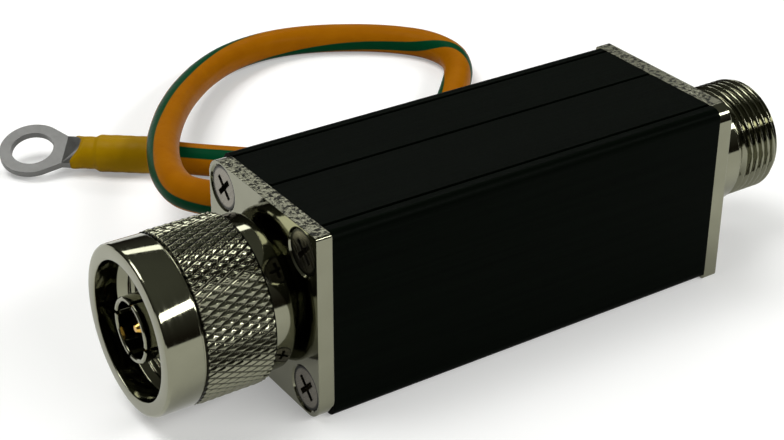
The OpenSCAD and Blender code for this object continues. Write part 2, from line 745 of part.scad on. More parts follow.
// Crimp barrel that flattens into a palm, whose sides run out to touch the ring round the hole
module ring_terminal() {
    ring_r = terminal_ring_d / 2;
    palm_x = terminal_reach - ring_r;
    palm_half = (barrel_d + terminal_t) / 2;
    touch_a = atan2(palm_half, -ring_r) - acos(ring_r / norm([ring_r, palm_half]));
    touch = [terminal_reach + ring_r * cos(touch_a), ring_r * sin(touch_a)];
    color(TIN) at_lead_end() rotate([-terminal_tilt, 0, 0]) difference() {
        union() {
            rotate([0, 90, 0]) cylinder(d = barrel_d, h = barrel_len);
            hull() {
                translate([barrel_len - edge, 0, 0]) rotate([0, 90, 0])
                    cylinder(d = barrel_d, h = edge, $fn = 32);
                translate([palm_x - terminal_t, -palm_half, -terminal_t / 2])
                    cube([terminal_t, 2 * palm_half, terminal_t]);
            }
            translate([0, 0, -terminal_t / 2]) linear_extrude(terminal_t) {
                translate([terminal_reach, 0]) circle(d = terminal_ring_d);
                polygon([
                    [palm_x - terminal_t / 2, palm_half], [palm_x, palm_half], touch,
                    [touch[0], -touch[1]], [palm_x, -palm_half], [palm_x - terminal_t / 2, -palm_half]
                ]);
            }
        }
        translate([terminal_reach, 0, -terminal_t]) cylinder(d = terminal_hole_d, h = 2 * terminal_t);
    }
}

housing_extrusion();
plug_body();
plug_outer_contact();
plug_gasket();
plug_insulator();
plug_centre_pin();
plug_flange_screws();
nut_snap_ring();
coupling_nut();
jack_body();
jack_insulator();
jack_centre_socket();
jack_flange_screws();
inner_conductor();
line_clip();
gas_tube_line_electrode();
gas_tube_ceramic();
gas_tube_earth_electrode();
earth_bracket();
bracket_screws();
earth_bush();
lead_core();
lead_grommet();
earth_lead();
terminal_sleeve();
ring_terminal();
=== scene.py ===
"""Studio scene of a coaxial lightning arrestor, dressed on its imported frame.

Sizes are written in millimetres and become metres when a mesh is made.
"""
import json
import logging
import math
from dataclasses import dataclass, replace
from enum import Enum
from functools import cache
from typing import Any

import bpy
import numpy as np
from mathutils import Matrix, Vector


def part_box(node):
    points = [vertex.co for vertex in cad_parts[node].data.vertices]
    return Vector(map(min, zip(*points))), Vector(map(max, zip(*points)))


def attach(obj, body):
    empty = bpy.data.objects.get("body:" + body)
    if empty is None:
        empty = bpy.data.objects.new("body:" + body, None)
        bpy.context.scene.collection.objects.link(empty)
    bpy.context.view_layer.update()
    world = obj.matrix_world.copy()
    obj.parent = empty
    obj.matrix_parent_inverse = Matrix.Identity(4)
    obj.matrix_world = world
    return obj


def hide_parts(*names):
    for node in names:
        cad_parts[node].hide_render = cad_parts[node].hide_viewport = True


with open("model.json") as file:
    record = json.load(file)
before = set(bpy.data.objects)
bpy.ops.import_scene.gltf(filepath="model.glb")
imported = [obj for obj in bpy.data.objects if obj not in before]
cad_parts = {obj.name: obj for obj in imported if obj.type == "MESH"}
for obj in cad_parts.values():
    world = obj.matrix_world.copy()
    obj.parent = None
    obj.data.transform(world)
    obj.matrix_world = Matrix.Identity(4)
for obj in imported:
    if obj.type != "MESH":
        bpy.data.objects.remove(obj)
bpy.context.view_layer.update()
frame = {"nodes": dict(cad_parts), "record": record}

log = logging.getLogger("arrestor")

Material, Object = bpy.types.Material, bpy.types.Object
Tree, Socket = bpy.types.NodeTree, bpy.types.NodeSocket

MM = 0.001
AXIS = sum(corner.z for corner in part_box("coupling_nut")) / 2 / MM  # height of the coaxial line


class Body(Enum):
    """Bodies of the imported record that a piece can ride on."""

    ARRESTOR = "arrestor"
    NUT = "nut"


class Slot(Enum):
    """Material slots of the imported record."""

    BLACK_ANODISED = "black_anodised"
    NICKEL = "nickel"
    GOLD = "gold"
    RAW_BRASS = "raw_brass"
    COPPER = "copper"
    BEAD_PLASTIC = "bead_plastic"
    BLACK_RUBBER = "black_rubber"
    RED_RUBBER = "red_rubber"
    CERAMIC = "ceramic"
    SCREW_STEEL = "screw_steel"
    LEAD_COVER = "lead_cover"
    YELLOW_SLEEVE = "yellow_sleeve"
    TINNED_COPPER = "tinned_copper"


def linear(code: str) -> tuple[float, float, float, float]:
    """Turns an sRGB hex colour into linear light.

    Args:
        code: Colour as "#rrggbb".

    Returns:
        Linear red, green and blue, and an alpha of 1.
    """
    srgb = np.array([int(code[i:i + 2], 16) for i in (1, 3, 5)]) / 255
    rgb = np.where(srgb <= 0.04045, srgb / 12.92, ((srgb + 0.055) / 1.055) ** 2.4)
    return (*rgb.tolist(), 1.0)


def add_node(tree: Tree, kind: str, feeds: dict[str | int, Any] | None = None,
             **settings: Any) -> bpy.types.Node:
    """Adds a node with its settings and links.

    Args:
        tree: Node tree that gets the node.
        kind: Blender's name of the node's type, without its "ShaderNode".
        feeds: What goes into each input, by its name or number: an output socket or a plain value.
        **settings: The node's own properties.

    Returns:
        The new node.
    """
    node = tree.nodes.new("ShaderNode" + kind)
    for key, value in settings.items():
        setattr(node, key, value)
    for key, value in (feeds or {}).items():
        if isinstance(value, Socket):
            tree.links.new(value, node.inputs[key])
        else:
            node.inputs[key].default_value = value
    return node


def blank_material(name: str) -> tuple[Material, Tree]:
    """Makes a material with no nodes.

    Args:
        name: The material's name.

    Returns:
        The material and its node tree.
    """
    material = bpy.data.materials.new(name)
    material.use_nodes = True
    material.node_tree.nodes.clear()
    return material, material.node_tree


@dataclass
class Surface:
    """Triangles in millimetres, with a pair of UV numbers for each corner where a pattern needs them."""

    points: np.ndarray
    faces: np.ndarray
    uv: np.ndarray | None = None

    def welded(self) -> "Surface":
        """Merges points that share a place, and drops the triangles that this empties.

        Returns:
            The surface with each place held once.
        """
        spots, names = np.unique(np.round(self.points, 5), axis=0, return_inverse=True)
        faces = names.reshape(-1)[self.faces]
        whole = (faces != np.roll(faces, 1, axis=1)).all(axis=1)
        return Surface(spots, faces[whole], None if self.uv is None else self.uv[whole])

    def outward(self) -> "Surface":
        """Turns a closed surface's triangles round if its signed volume is negative.

        Returns:
            The surface with its faces pointing outwards.
        """
        a, b, c = (self.points[self.faces[:, i]] - self.points[0] for i in range(3))
        if np.einsum("ij,ij->", a, np.cross(b, c)) >= 0:
            return self
        return Surface(self.points, self.faces[:, ::-1], None if self.uv is None else self.uv[:, ::-1])

    def joined(self, other: "Surface") -> "Surface":
        """Lays another surface beside this one in the same mesh, without its UV numbers."""
        return Surface(np.vstack([self.points, other.points]),
                       np.vstack([self.faces, other.faces + len(self.points)]))

    def piece(self, name: str, body: Body, slot: Slot, nodes: tuple[str, ...],
              crease: float = 35.0) -> Object:
        """Makes the scene's object, at the origin, in place of CAD nodes.

        Args:
            name: The piece's name.
            body: Body that it rides on.
            slot: Record's slot of its finish; not used.
            nodes: CAD nodes that it stands for.
            crease: Angle in degrees past which an edge stays sharp.

        Returns:
            The object.
        """
        mesh = bpy.data.meshes.new(name)
        mesh.from_pydata((self.points * MM).tolist(), [], self.faces.tolist())
        if self.uv is not None:
            mesh.uv_layers.new(name="UVMap").data.foreach_set("uv", self.uv.ravel())
        mesh.polygons.foreach_set("use_smooth", np.ones(len(self.faces), bool))
        mesh.set_sharp_from_angle(angle=math.radians(crease))
        mesh.update()
        obj = bpy.data.objects.new(name, mesh)
        bpy.context.scene.collection.objects.link(obj)
        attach(obj, body.value)
        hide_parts(*nodes)
        log.info("%s: %d triangles", name, len(self.faces))
        return obj


def grid(rows: int, columns: int, loop: bool, flip: np.ndarray | None = None) -> np.ndarray:
    """Cuts every cell of a grid in two triangles. Its columns close on themselves.

    The cell at (i, j) has the corners (i, j), (i + 1, j), (i + 1, j + 1) and (i, j + 1). It is cut from
    the first to the third, or from the second to the fourth where flip is true.

    Args:
        rows: Number of rows.
        columns: Number of columns.
        loop: Whether the last row joins the first.
        flip: Cells that are cut the other way.

    Returns:
        Row and column of each triangle's corners, past the last one where the grid wraps.
    """
    i, j = np.meshgrid(np.arange(rows if loop else rows - 1), np.arange(columns), indexing="ij")
    corner = np.stack([np.stack([i + a, j + b], -1) for a, b in ((0, 0), (1, 0), (1, 1), (0, 1))], axis=2)
    cut = corner[:, :, [[0, 1, 2], [0, 2, 3]]]
    if flip is not None:
        cut = np.where(flip[:len(i), :, None, None, None], corner[:, :, [[1, 2, 3], [1, 3, 0]]], cut)
    return cut.reshape(-1, 3, 2)


def skin(points: np.ndarray, loop: bool, flip: np.ndarray | None = None,
         uv: np.ndarray | None = None) -> Surface:
    """Covers a grid of points with triangles.

    Args:
        points: Points by row and column.
        loop: Whether the last row joins the first.
        flip: Cells that are cut the other way.
        uv: UV numbers by row and column, with one column more than the points.

    Returns:
        The welded surface with its faces outwards.
    """
    rows, columns = points.shape[:2]
    cut = grid(rows, columns, loop, flip)
    faces = cut[..., 0] % rows * columns + cut[..., 1] % columns
    corners = None if uv is None else uv[cut[..., 0] % rows, cut[..., 1]]
    return Surface(points.reshape(-1, 3), faces, corners).welded().outward()


def stations(name: str, margin: float = 0.0) -> tuple[float, float]:
    """Measures where a CAD node starts and ends along the coaxial line.

    Args:
        name: The node's name.
        margin: Distance by which both ends move outwards.

    Returns:
        First and last station.
    """
    low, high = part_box(name)
    return low.x / MM - margin, high.x / MM + margin


def turned(x: np.ndarray, radius: np.ndarray, angle: np.ndarray) -> np.ndarray:
    """Turns rows of radii about the coaxial line.

    The point at row i and column j is (x_i, r_ij sin t_j, axis + r_ij cos t_j).

    Args:
        x: Station of each row.
        radius: Radius by row and column.
        angle: Angle t of each column.

    Returns:
        Points by row and column.
    """
    along = np.broadcast_to(x[:, None], radius.shape)
    return np.stack([along, radius * np.sin(angle), AXIS + radius * np.cos(angle)], axis=-1)


def rounded(corners: list[tuple[float, float, float]], steps: int = 5) -> np.ndarray:
    """Rounds a profile's corners. The first and last entries only give the direction there.

    Each corner becomes the quadratic curve (1-t)^2 a + 2t(1-t) c + t^2 b, where c is the corner, and a
    and b lie its rounding before it and after it on the profile.

    Args:
        corners: Station, radius and rounding of each corner.
        steps: Points on each curve.

    Returns:
        Station and radius of the curves' points.
    """
    table = np.array(corners, float)
    spot, size = table[1:-1, :2], table[1:-1, 2:]
    behind, ahead = table[:-2, :2] - spot, table[2:, :2] - spot
    first = spot + size * behind / np.linalg.norm(behind, axis=1)[:, None]
    last = spot + size * ahead / np.linalg.norm(ahead, axis=1)[:, None]
    t = np.linspace(0, 1, steps)[:, None, None]
    curve = (1 - t) ** 2 * first + 2 * t * (1 - t) * spot + t ** 2 * last
    return curve.transpose(1, 0, 2).reshape(-1, 2)


def thread(x: np.ndarray, angle: np.ndarray, pitch: float, low: float, high: float) -> np.ndarray:
    """Radius of a right-hand thread by row and column.

    The wave |2t - 1| of t = the fraction of x / pitch + angle / 2 pi goes from 1 to 0 and back in a turn.
    An eighth of the pitch stays flat at its top and at its foot, and the flanks between are straight.

    Args:
        x: Station of each row.
        angle: Angle of each column.
        pitch: Advance in a turn.
        low: Radius at the wave's foot.
        high: Radius at the wave's top.

    Returns:
        Radius by row and column.
    """
    wave = np.abs(2 * np.mod(x[:, None] / pitch + angle / (2 * math.pi), 1) - 1)
    return low + (high - low) * np.clip((wave - 0.125) / 0.75, 0, 1)


def zipped(first: np.ndarray, second: np.ndarray) -> np.ndarray:
    """Joins two rings of points with triangles.

    The points of both are taken in order of their angle, and each makes a triangle with the latest point
    of either ring before it.

    Args:
        first: Sorted angles of one ring's points.
        second: Sorted angles of the other's, which are numbered after the first's.

    Returns:
        Numbers of each triangle's points.
    """
    order = np.argsort(np.concatenate([first, second]), kind="stable")
    own = order < len(first)
    a = (np.cumsum(own) - 1) % len(first)
    b = (np.cumsum(~own) - 1) % len(second) + len(first)
    return np.stack([np.roll(a, 1), np.roll(b, 1), np.where(own, a, b)], axis=-1)


def smooth_line(route: np.ndarray, steps: int = 8) -> np.ndarray:
    """Carries a smooth cubic curve through a route's points.

    Its span from b to c leaves b at half of c - a and reaches c at half of d - b, where a is the point
    before b and d the one after c. Past the route's ends its first and last spans go on straight.

    Args:
        route: Points of the route.
        steps: Points on the curve for each of its spans.

    Returns:
        Points of the curve, ending on the route's last point.
    """
    ends = np.vstack([2 * route[0] - route[1], route, 2 * route[-1] - route[-2]])
    t = np.linspace(0, 1, steps, endpoint=False)[:, None, None]
    a, b, c, d = ends[:-3], ends[1:-2], ends[2:-1], ends[3:]
    curve = 0.5 * (2 * b + (c - a) * t + (2 * a - 5 * b + 4 * c - d) * t ** 2
                   + (3 * b - a - 3 * c + d) * t ** 3)
    return np.vstack([curve.transpose(1, 0, 2).reshape(-1, 3), route[-1]])


def swept(line: np.ndarray, radius: np.ndarray, angle: np.ndarray) -> np.ndarray:
    """Carries rings of radii along a line that is nowhere upright.

    The ring at row i is c_i + r_ij (side_i cos t_j + up_i sin t_j), where side is to the right of the
    line's direction and up is square to both.

    Args:
        line: Centre of each row.
        radius: Radius by row and column.
        angle: Angle t of each column.

    Returns:
        Points by row and column.
    """
    heading = np.gradient(line, axis=0)
    heading /= np.linalg.norm(heading, axis=1)[:, None]
    side = np.cross(heading, (0, 0, 1))
    side /= np.linalg.norm(side, axis=1)[:, None]
    up = np.cross(side, heading)
    ring = side[:, None] * np.cos(angle)[:, None] + up[:, None] * np.sin(angle)[:, None]
    return line[:, None] + radius[..., None] * ring


# Range that holds most of a noise's values
NOISE_SPAN = {"From Min": 0.3, "From Max": 0.7}


@dataclass
class Look:
    """Sockets that give a shader its colour, roughness and normal."""

    colour: Socket
    rough: Socket
    normal: Socket


@dataclass(frozen=True)
class Finish:
    """A real material in two close colours.

    Attributes:
        name: What it is.
        light: Colour of its clean, pale or raised parts.
        dark: Colour of its stained, dark or sunken parts.
    """

    name: str
    light: str
    dark: str

    def material(self) -> Material:
        """Makes the material once, which each kind does in its own way."""
        raise NotImplementedError


@dataclass(frozen=True)
class TurnedMetal(Finish):
    """Metal turned about the coaxial line, then plated or left bare.

    Attributes:
        polish: Roughness where it is brightest.
        haze: Roughness where it is dullest.
        ring_mm: Spacing of the tool's rings.
        ring_depth_mm: Depth of those rings.
        cloud_mm: Size of the stains.
        edge_mm: Rounding that edges show.
        chatter: Depth in millimetres of the cutter's marks on the sawn top edge, or 0.
        mark_mm: Size of those marks.
        skin_mm: Depths below the flange's top at which the sawn skin starts and is full.
        sawn: Roughness of the sawn edge.
        pit_shade: Colour of the painted shade in the marks' hollows.
        valley_shade_share: Share of a knurl's depth, read from the UV map, that gets painted shade, or 0.
        valley_shade: Colour of the painted shade in the knurl's valleys.
        head_r: Radius of screw heads whose rims get painted shade, or 0.
        head_at: Distance of those heads from the coaxial line, sideways and up.
        rim_mm: Distances inside a head's edge at which the painted shade starts and is full.
        rim: Colour of the painted shade round the heads' rims, which stands in for the shade in the gap round
            each head.
    """

    polish: float
    haze: float
    ring_mm: float = 0.35
    ring_depth_mm: float = 0.01
    cloud_mm: float = 4.0
    edge_mm: float = 0.12
    chatter: float = 0.0
    mark_mm: float = 0.42
    skin_mm: tuple[float, float] = (0.12, 0.05)
    sawn: float = 0.34
    # Colour of the painted shade in the saw marks' hollows
    pit_shade: str = "#1c1d16"
    valley_shade_share: float = 0.0
    # Colour of the painted shade in the knurl's valleys
    valley_shade: str = "#191811"
    head_r: float = 0.0
    head_at: float = 9.4
    rim_mm: tuple[float, float] = (0.45, 0.25)
    # Colour of the painted shade round the screw heads' rims
    rim: str = "#16160f"

    @cache
    def material(self) -> Material:
        """Makes the material: rings from noise in station and radius, stains from noise in space.

        Returns:
            The material.
        """
        material, tree = blank_material(self.name)
        coords = add_node(tree, "TexCoord").outputs
        centred = add_node(tree, "Mapping", {"Vector": coords["Object"], "Location": (0, 0, -AXIS * MM)})
        part = add_node(tree, "SeparateXYZ", {0: centred.outputs[0]}).outputs
        across = add_node(tree, "CombineXYZ", {"Y": part["Y"], "Z": part["Z"]}).outputs[0]
        radius = add_node(tree, "VectorMath", {0: across}, operation="LENGTH").outputs["Value"]
        lathe = add_node(tree, "CombineXYZ", {"X": part["X"], "Y": radius}).outputs[0]
        rings = add_node(tree, "TexNoise", {"Vector": lathe, "Scale": 1 / (self.ring_mm * MM), "Detail": 2.0},
                         noise_dimensions="2D").outputs[0]
        clouds = add_node(tree, "TexNoise", {"Vector": coords["Object"], "Scale": 1 / (self.cloud_mm * MM),
                                             "Detail": 4.0}).outputs[0]
        colour = add_node(tree, "Mix", {0: clouds, 6: linear(self.dark), 7: linear(self.light)},
                          data_type="RGBA").outputs[2]
        rough = add_node(tree, "MapRange", {"Value": rings, **NOISE_SPAN, "To Min": self.polish,
                                            "To Max": self.haze}).outputs[0]
        edges = add_node(tree, "Bevel", {"Radius": self.edge_mm * MM}, samples=6).outputs[0]
        relief = add_node(tree, "Bump", {"Height": rings, "Strength": 0.03,
                                         "Distance": self.ring_depth_mm * MM, "Normal": edges}).outputs[0]
        look = Look(colour, rough, relief)
        if self.chatter:
            self.saw(tree, coords["Object"], part["Z"], look)
        if self.valley_shade_share:
            self.shade_valleys(tree, coords["UV"], look)
        if self.head_r:
            self.shade_rims(tree, across, look)
        shader = add_node(tree, "BsdfPrincipled", {"Base Color": look.colour, "Metallic": 1.0,
                                                   "Roughness": look.rough, "Normal": look.normal})
        add_node(tree, "OutputMaterial", {"Surface": shader.outputs[0]})
        return material

    def saw(self, tree: Tree, place: Socket, height: Socket, look: Look) -> None:
        """Gives the flat top edge a dull skin with bumpy marks, and paints shade into their hollows.

        Args:
            tree: Node tree of the material.
            place: Object coordinates.
            height: Height over the coaxial line.
            look: What the shader shows, which is changed.
        """
        marks = add_node(tree, "TexNoise", {"Vector": place, "Scale": 1 / (self.mark_mm * MM),
                                            "Detail": 1.0}).outputs[0]
        start, full = ((AXIS - depth) * MM for depth in self.skin_mm)
        top = add_node(tree, "MapRange", {"Value": height, "From Min": start, "From Max": full}).outputs[0]
        look.normal = add_node(tree, "Bump", {"Height": marks, "Strength": top, "Distance": self.chatter * MM,
                                              "Normal": look.normal}).outputs[0]
        look.rough = add_node(tree, "MapRange", {"Value": top, "To Min": look.rough,
                                                 "To Max": self.sawn}).outputs[0]
        # Painted shade: the saw marks' hollows, where the bump is low, are darkened
        pit_shade_mask = add_node(tree, "MapRange", {"Value": marks, "From Min": 0.5, "From Max": 0.4,
                                           "To Max": top}).outputs[0]
        look.colour = add_node(tree, "Mix", {0: pit_shade_mask, 6: look.colour, 7: linear(self.pit_shade)},
                               data_type="RGBA").outputs[2]

    def shade_valleys(self, tree: Tree, uv: Socket, look: Look) -> None:
        """Paints shade into the knurl's valleys.

        Args:
            tree: Node tree of the material.
            uv: UV map, with the knurl's height in its first number.
            look: What the shader shows, which is changed.
        """
        level = add_node(tree, "SeparateXYZ", {0: uv}).outputs["X"]
        valley = add_node(tree, "MapRange", {"Value": level, "From Min": self.valley_shade_share,
                                             "From Max": self.valley_shade_share * 0.4}).outputs[0]
        # Painted shade: the deeper a point lies in the knurl, the darker its colour
        look.colour = add_node(tree, "Mix", {0: valley, 6: look.colour, 7: linear(self.valley_shade)},
                               data_type="RGBA").outputs[2]

    def shade_rims(self, tree: Tree, across: Socket, look: Look) -> None:
        """Paints shade round the screw heads' rims, where the gap round each head lies in shade.

        Args:
            tree: Node tree of the material.
            across: Place sideways of the coaxial line and over it.
            look: What the shader shows, which is changed.
        """
        corner = add_node(tree, "VectorMath", {0: across}, operation="ABSOLUTE").outputs[0]
        middle = (0, self.head_at * MM, self.head_at * MM)
        off = add_node(tree, "VectorMath", {0: corner, 1: middle}, operation="DISTANCE").outputs["Value"]
        start, full = ((self.head_r - inside) * MM for inside in self.rim_mm)
        rim = add_node(tree, "MapRange", {"Value": off, "From Min": start, "From Max": full}).outputs[0]
        # Painted shade: a dark ring just inside each screw head's edge
        look.colour = add_node(tree, "Mix", {0: rim, 6: look.colour, 7: linear(self.rim)},
                               data_type="RGBA").outputs[2]


@dataclass(frozen=True)
class AnodisedExtrusion(Finish):
    """Aluminium pushed through a die, then dyed black: fine lines along its length and a dull skin.

    Attributes:
        line_mm: Width of a die line, drawn coarser than the real 0.1 mm so that it shows.
        line_len_mm: Length over which a line fades.
        line_depth_mm: Depth of a line.
        grit_mm: Size of the dyed skin's grit.
        edge_mm: Rounding that edges show.
        gloss: Roughness of the dyed skin.
        sheen: Strength of its clear reflection.
    """

    line_mm: float = 0.35
    line_len_mm: float = 30.0
    line_depth_mm: float = 0.03
    grit_mm: float = 0.25
    edge_mm: float = 0.12
    gloss: float = 0.42
    sheen: float = 0.012

    @cache
    def material(self) -> Material:
        """Makes the material from noise that is stretched along the extrusion.

        Returns:
            The material.
        """
        material, tree = blank_material(self.name)
        place = add_node(tree, "TexCoord").outputs["Object"]
        fine, slow = 1 / (self.line_mm * MM), 1 / (self.line_len_mm * MM)
        along = add_node(tree, "Mapping", {"Vector": place, "Scale": (slow, fine, fine)}).outputs[0]
        lines = add_node(tree, "TexNoise", {"Vector": along, "Scale": 1.0, "Detail": 3.0}).outputs[0]
        grit = add_node(tree, "TexNoise", {"Vector": place, "Scale": 1 / (self.grit_mm * MM),
                                           "Detail": 2.0}).outputs[0]
        colour = add_node(tree, "Mix", {0: lines, 6: linear(self.dark), 7: linear(self.light)},
                          data_type="RGBA").outputs[2]
        rough = add_node(tree, "MapRange", {"Value": grit, **NOISE_SPAN, "To Min": self.gloss - 0.05,
                                            "To Max": self.gloss + 0.08}).outputs[0]
        edges = add_node(tree, "Bevel", {"Radius": self.edge_mm * MM}, samples=6).outputs[0]
        relief = add_node(tree, "Bump", {"Height": lines, "Strength": 0.35,
                                         "Distance": self.line_depth_mm * MM, "Normal": edges}).outputs[0]
        shader = add_node(tree, "BsdfPrincipled", {"Base Color": colour, "Roughness": rough,
                                                   "Specular IOR Level": self.sheen, "Normal": relief})
        add_node(tree, "OutputMaterial", {"Surface": shader.outputs[0]})
        return material


@dataclass(frozen=True)
class MouldedSolid(Finish):
    """Rubber, plastic or ceramic formed in a mould: one colour with a faint mottle and a fine grain.

    Attributes:
        gloss: Roughness.
        grain_mm: Size of the grain.
        mottle_grains: Size of the mottle, in grains.
        depth_mm: Depth of the grain.
        edge_mm: Rounding that edges show.
        sheen: Strength of its clear reflection, 0.5 for a plain plastic.
    """

    gloss: float
    grain_mm: float = 0.5
    mottle_grains: float = 1 / 0.3
    depth_mm: float = 0.01
    edge_mm: float = 0.1
    sheen: float = 0.5

    @cache
    def material(self) -> Material:
        """Makes the material from one noise for the mottle and a finer one for the grain.

        Returns:
            The material.
        """
        material, tree = blank_material(self.name)
        place = add_node(tree, "TexCoord").outputs["Object"]
        fine = 1 / (self.grain_mm * MM)
        mottle = add_node(tree, "TexNoise", {"Vector": place, "Scale": fine / self.mottle_grains,
                                             "Detail": 4.0}).outputs[0]
        grain = add_node(tree, "TexNoise", {"Vector": place, "Scale": fine, "Detail": 2.0}).outputs[0]
        colour = add_node(tree, "Mix", {0: mottle, 6: linear(self.dark), 7: linear(self.light)},
                          data_type="RGBA").outputs[2]
        rough = add_node(tree, "MapRange", {"Value": grain, **NOISE_SPAN, "To Min": self.gloss - 0.06,
                                            "To Max": self.gloss + 0.06}).outputs[0]
        edges = add_node(tree, "Bevel", {"Radius": self.edge_mm * MM}, samples=6).outputs[0]
        relief = add_node(tree, "Bump", {"Height": grain, "Strength": 0.4, "Distance": self.depth_mm * MM,
                                         "Normal": edges}).outputs[0]
        shader = add_node(tree, "BsdfPrincipled", {"Base Color": colour, "Roughness": rough,
                                                   "Specular IOR Level": self.sheen, "Normal": relief})
        add_node(tree, "OutputMaterial", {"Surface": shader.outputs[0]})
        return material


@dataclass(frozen=True)
class StripedCover(Finish):
    """PVC lead cover with two opposite stripes, extruded together: dull, with faint drawing marks.

    Attributes:
        stripe: Colour of the stripes.
        stripe_deg: Angle that a stripe covers round the lead.
        streak_mm: Size of the streaks.
        mark_mm: Size of the drawing marks.
        depth_mm: Depth of those marks.
        gloss: Roughness.
        sheen: Strength of its clear reflection.
    """

    stripe: str
    stripe_deg: float = 44.0
    streak_mm: float = 3.0
    mark_mm: float = 0.7
    depth_mm: float = 0.03
    gloss: float = 0.36
    sheen: float = 0.012

    @cache
    def material(self) -> Material:
        """Makes the material on the lead's UV map, which has metres along it and turns round it.

        The cosine of two waves a turn is above the cosine of the stripe's angle inside a stripe.

        Returns:
            The material.
        """
        material, tree = blank_material(self.name)
        coords = add_node(tree, "TexCoord").outputs
        turns = add_node(tree, "SeparateXYZ", {0: coords["UV"]}).outputs["Y"]
        phase = add_node(tree, "Math", {0: turns, 1: 4 * math.pi}, operation="MULTIPLY").outputs[0]
        wave = add_node(tree, "Math", {0: phase}, operation="COSINE").outputs[0]
        limit = math.cos(math.radians(self.stripe_deg))
        inside = add_node(tree, "MapRange", {"Value": wave, "From Min": limit - 0.05,
                                             "From Max": limit + 0.05}).outputs[0]
        streaks = add_node(tree, "TexNoise", {"Vector": coords["Object"], "Scale": 1 / (self.streak_mm * MM),
                                              "Detail": 3.0}).outputs[0]
        ground = add_node(tree, "Mix", {0: streaks, 6: linear(self.dark), 7: linear(self.light)},
                          data_type="RGBA").outputs[2]
        colour = add_node(tree, "Mix", {0: inside, 6: ground, 7: linear(self.stripe)},
                          data_type="RGBA").outputs[2]
        marks = add_node(tree, "TexNoise", {"Vector": coords["Object"], "Scale": 1 / (self.mark_mm * MM),
                                            "Detail": 2.0}).outputs[0]
        rough = add_node(tree, "MapRange", {"Value": marks, **NOISE_SPAN, "To Min": self.gloss - 0.05,
                                            "To Max": self.gloss + 0.08}).outputs[0]
        relief = add_node(tree, "Bump", {"Height": marks, "Strength": 0.3,
                                         "Distance": self.depth_mm * MM}).outputs[0]
        shader = add_node(tree, "BsdfPrincipled", {"Base Color": colour, "Roughness": rough,
                                                   "Specular IOR Level": self.sheen, "Normal": relief})
        add_node(tree, "OutputMaterial", {"Surface": shader.outputs[0]})
        return material


# What each slot of the record is made of, and what that gives the eye
FINISHES: dict[Slot, Finish] = {
    # Dyed skin on an extrusion: nearly black, with die lines that catch the light along the top
    Slot.BLACK_ANODISED: AnodisedExtrusion("black anodised aluminium", "#060b06", "#000100"),
    # Bright plate on turned brass: a mirror with a warm grey tint and faint rings
    Slot.NICKEL: TurnedMetal("nickel plated brass", "#848472", "#777765", 0.05, 0.1),
    # Thin plate on the contacts: warm and bright
    Slot.GOLD: TurnedMetal("gold plated brass", "#d9ae5c", "#c59848", 0.12, 0.22),
    # Bare rod as it came from the lathe: yellow with clear rings
    Slot.RAW_BRASS: TurnedMetal("turned brass", "#c9a85a", "#a98743", 0.2, 0.34, edge_mm=0.08),
    # Strip and strands that have lost their first shine
    Slot.COPPER: TurnedMetal("bare copper", "#c07a50", "#96563a", 0.24, 0.4, edge_mm=0.08),
    # Pressed bead, waxy white
    Slot.BEAD_PLASTIC: MouldedSolid("PTFE", "#efede4", "#e2dfd3", 0.42),
    # Moulded bush, dull black
    Slot.BLACK_RUBBER: MouldedSolid("black rubber", "#1b1b1a", "#121211", 0.6, grain_mm=0.35,
                                    depth_mm=0.03),
    # Seal ring, dull red
    Slot.RED_RUBBER: MouldedSolid("red silicone rubber", "#8f2f22", "#7a2419", 0.5),
    # Fired tube, hard white with a glaze
    Slot.CERAMIC: MouldedSolid("alumina ceramic", "#ece8df", "#dcd7cb", 0.25),
    # Plated heads, satin, with painted shade round their rims
    Slot.SCREW_STEEL: TurnedMetal("nickel plated steel", "#8a857a", "#69655b", 0.24, 0.36, head_r=2.85),
    # Extruded cover, orange yellow with two green stripes
    Slot.LEAD_COVER: StripedCover("striped PVC", "#9a5f06", "#8a5003", "#023a20"),
    # Heat-shrink tube, thin and nearly matt
    Slot.YELLOW_SLEEVE: MouldedSolid("polyolefin heat-shrink", "#9c7a03", "#8a6801", 0.4, grain_mm=1.2,
                                     depth_mm=0.03, sheen=0.04),
    # Stamped lug dipped in tin: grey and satin
    Slot.TINNED_COPPER: TurnedMetal("tinned copper", "#757573", "#646462", 0.4, 0.52, ring_mm=0.8),
}

# The nut's knurl has painted shade in its valleys: bright points in a dark net
KNURLED_NICKEL = replace(FINISHES[Slot.NICKEL], name="knurled nickel plated brass", valley_shade_share=0.36)

# The flanges' top edges keep their saw marks under the plate: dull, with painted shade in the marks' hollows
# as short dark dashes
SAWN_NICKEL = replace(FINISHES[Slot.NICKEL], name="sawn nickel plated brass", chatter=0.12)


class Palette:
    """Gives the pieces their materials."""

    def __init__(self) -> None:
        """Notes which slot each CAD node has."""
        self.slots = {part["node"]: Slot(part["material_slot"]) for part in frame["record"]["subparts"]}

    def dress(self, obj: Object, finish: Finish) -> None:
        """Gives an object a finish in place of what it has, and reports it.

        Args:
            obj: A CAD node or a new piece.
            finish: What it is made of.
        """
        obj.data.materials.clear()
        obj.data.materials.append(finish.material())
        log.info("%s: %s", obj.name, finish.name)

    def dress_nodes(self, *names: str) -> None:
        """Gives CAD nodes the finishes of their own slots."""
        for name in names:
            self.dress(frame["nodes"][name], FINISHES[self.slots[name]])


@dataclass
class Housing:
    """Black extrusion and the rubber bush that the lead leaves by."""

    nodes: tuple[str, ...] = ("housing_extrusion", "lead_grommet")

    def dress(self, palette: Palette) -> None:
        """Gives the extrusion and the bush their finishes."""
        palette.dress_nodes(*self.nodes)


